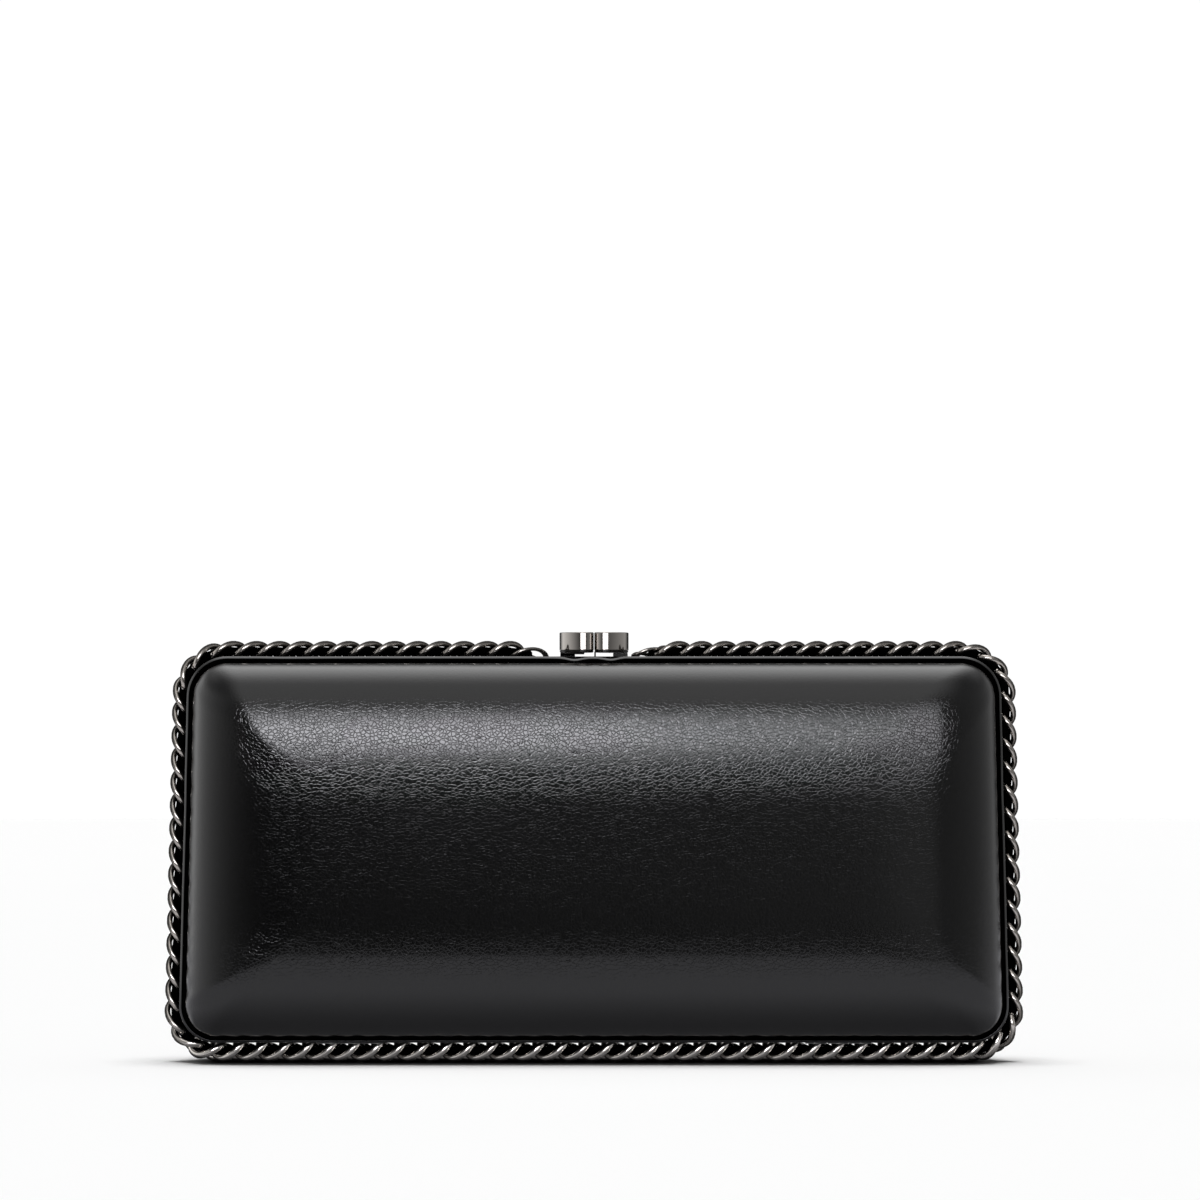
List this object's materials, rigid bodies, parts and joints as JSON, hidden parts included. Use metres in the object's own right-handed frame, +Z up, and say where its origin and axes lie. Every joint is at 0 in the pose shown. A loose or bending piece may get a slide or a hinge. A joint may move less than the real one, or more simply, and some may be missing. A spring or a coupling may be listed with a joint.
{
  "type": "kiss lock clutch",
  "caption": "Hard padded leather clutch with a curb chain round its edge, a hinged front cover and a kiss lock at the top.",
  "frame": {"origin": "on the surface that the chain stands on, under the middle of the bag", "axes": "+Z up, -Y towards the front cover, +X to the right seen from the front"},
  "size_m": [0.2104, 0.0448, 0.1059],
  "materials": {
    "leather_panel": "satin",
    "lip_leather": "gloss",
    "ribbon_leather": "satin",
    "foam": "matte",
    "shell": "matte",
    "lining": "matte",
    "frame": "satin",
    "chain": "polished",
    "keeper": "polished",
    "clasp": "polished",
    "steel": "satin"
  },
  "bodies": {
    "rear_half": {"chain_bottom": "chain", "chain_keeper_left": "keeper", "chain_keeper_right": "keeper", "chain_left": "chain", "chain_ribbon": "ribbon_leather", "chain_right": "chain", "chain_top_left": "chain", "chain_top_right": "chain", "clasp_rear_lever": "clasp", "clasp_rear_rivet": "steel", "hinge_left_pin": "steel", "hinge_left_rear_leaf": "steel", "hinge_left_rear_screw_1": "steel", "hinge_left_rear_screw_2": "steel", "hinge_right_pin": "steel", "hinge_right_rear_leaf": "steel", "hinge_right_rear_screw_1": "steel", "hinge_right_rear_screw_2": "steel", "rear_frame": "frame", "rear_lining": "lining", "rear_lip": "lip_leather", "rear_padding": "foam", "rear_panel": "leather_panel", "rear_shell": "shell"},
    "front_cover": {"clasp_front_lever": "clasp", "clasp_front_rivet": "steel", "front_frame": "frame", "front_lining": "lining", "front_lip": "lip_leather", "front_padding": "foam", "front_panel": "leather_panel", "front_shell": "shell", "hinge_left_front_leaf": "steel", "hinge_left_front_screw_1": "steel", "hinge_left_front_screw_2": "steel", "hinge_right_front_leaf": "steel", "hinge_right_front_screw_1": "steel", "hinge_right_front_screw_2": "steel"}
  },
  "joints": [
    {"name": "cover_hinge", "type": "hinge", "parent": "rear_half", "child": "front_cover", "pos_m": [0, -0.00535, 0.0056], "axis": [1, 0, 0], "range_deg": [0, 90]}
  ]
}
